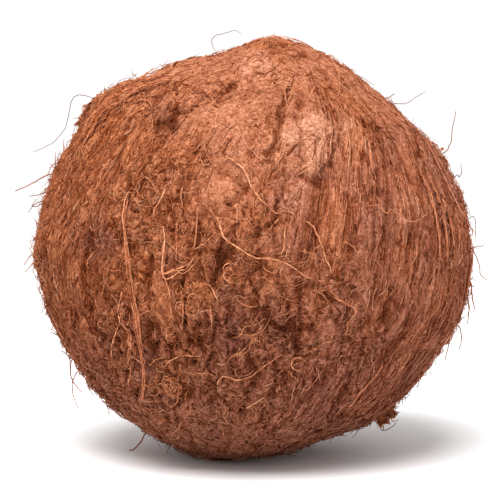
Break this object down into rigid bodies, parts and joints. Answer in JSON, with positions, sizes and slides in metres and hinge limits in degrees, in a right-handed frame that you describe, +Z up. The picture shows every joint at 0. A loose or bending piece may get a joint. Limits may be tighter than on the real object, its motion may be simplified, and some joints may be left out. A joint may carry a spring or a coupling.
{
  "type": "coconut",
  "caption": "Husked mature coconut, pointed end up, with a matted coat of brown coir fibre and a small flat spot to rest on.",
  "frame": {"origin": "middle of the bottom of the bounding box, at the level of the flat spot that the nut rests on", "axes": "+Z up, with the pointed end up and leaning 6 degrees to +X; -Y is the side that faces the viewer; +X is the viewer's right and the longest way across, from hair tip to hair tip"},
  "size_m": [0.13, 0.1202, 0.1173],
  "materials": {
    "coir_coat": "matt"
  },
  "bodies": {
    "root": {"coconut": "coir_coat"}
  },
  "joints": []
}
